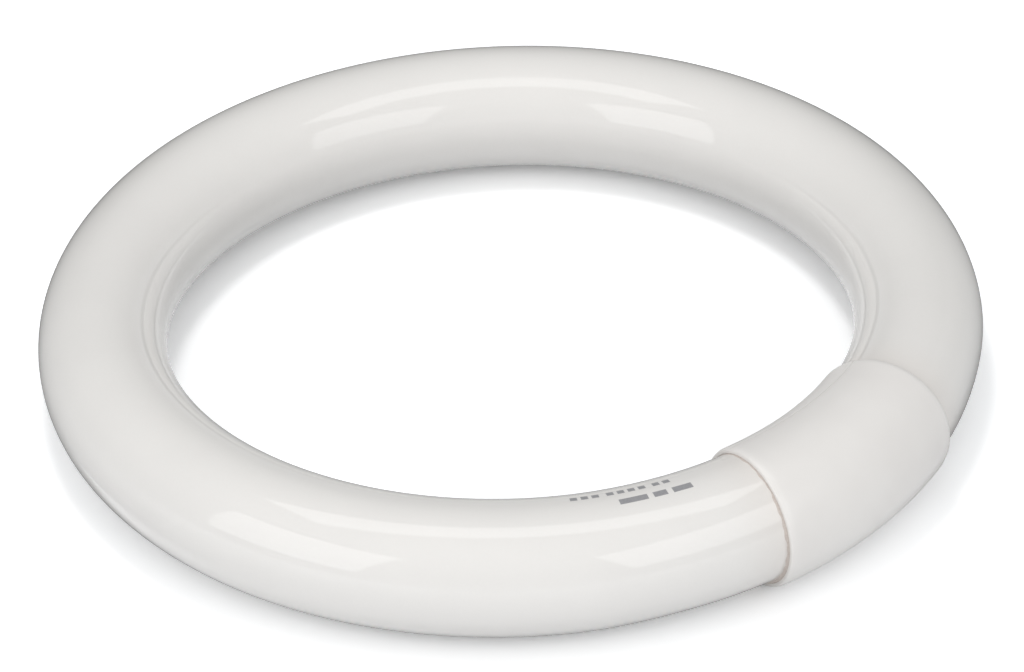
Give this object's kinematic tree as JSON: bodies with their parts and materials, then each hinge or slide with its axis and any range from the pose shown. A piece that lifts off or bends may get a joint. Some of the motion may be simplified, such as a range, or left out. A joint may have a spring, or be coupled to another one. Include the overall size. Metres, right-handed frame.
{
  "type": "circular fluorescent tube",
  "caption": "Ring-shaped opal glass discharge tube lying flat, its ends joined by a moulded base with contact pins.",
  "frame": {"origin": "on the axis of the ring, at the level of the surface that the base's underside lies on", "axes": "+Z along the ring's axis, upwards with the ring lying flat; +X from the ring's axis to the middle of the base; the pins point back towards -X and down"},
  "size_m": [0.2144, 0.213, 0.0317],
  "materials": {
    "opal_glass": "glossy clear glass over an opaque white phosphor coat",
    "base_plastic": "satin moulded white plastic",
    "pin_metal": "satin nickel plate over brass",
    "lead_metal": "drawn copper-clad wire",
    "basing_cement": "matt brown baked cement"
  },
  "bodies": {
    "root": {"glass_tube": "opal_glass", "base_cover": "base_plastic", "base_pin_half": "base_plastic", "cement_ring_a": "basing_cement", "cement_ring_b": "basing_cement", "contact_pin_1": "pin_metal", "contact_pin_2": "pin_metal", "contact_pin_3": "pin_metal", "contact_pin_4": "pin_metal", "lead_wire_1": "lead_metal", "lead_wire_2": "lead_metal", "lead_wire_3": "lead_metal", "lead_wire_4": "lead_metal"}
  },
  "joints": []
}
